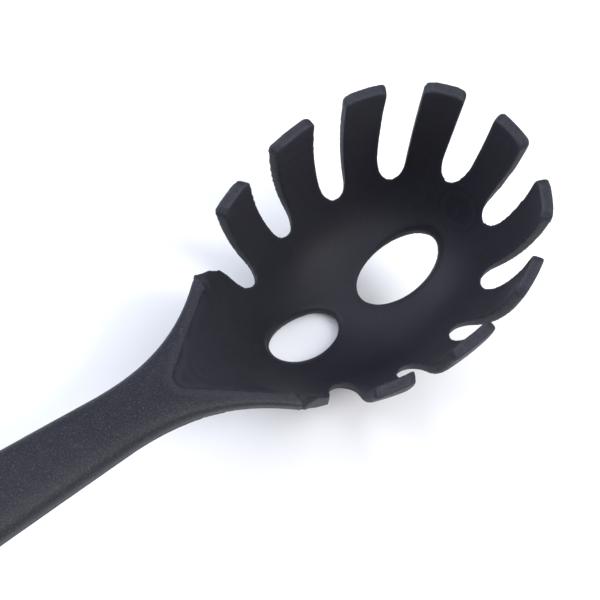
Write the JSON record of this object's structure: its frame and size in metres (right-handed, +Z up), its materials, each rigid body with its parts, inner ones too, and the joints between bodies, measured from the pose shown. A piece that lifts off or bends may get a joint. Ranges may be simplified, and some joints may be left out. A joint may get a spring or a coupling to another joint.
{
  "type": "pasta server",
  "caption": "Deep oval pasta server: a tined bowl with drain holes in its floor, on a long arched hollow handle that forks into the bowl's shoulders.",
  "frame": {"origin": "middle of the footprint's box, on the surface that the server lies on, bowl up", "axes": "+X from the handle's hanging end to the front tine, +Y to one side, +Z up out of the bowl"},
  "size_m": [0.328, 0.0684, 0.0735],
  "materials": {
    "head_nylon": "smooth matte moulded nylon",
    "grip_nylon": "matte moulded nylon with a fine sparkling grain",
    "steel": "brushed flat bar, hidden inside the handle",
    "eyelet_nylon": "satin moulded nylon"
  },
  "bodies": {
    "root": {"server_head": "head_nylon", "handle_upper_shell": "grip_nylon", "handle_lower_shell": "grip_nylon", "stiffener_bar": "steel", "hanging_eyelet": "eyelet_nylon"}
  },
  "joints": []
}
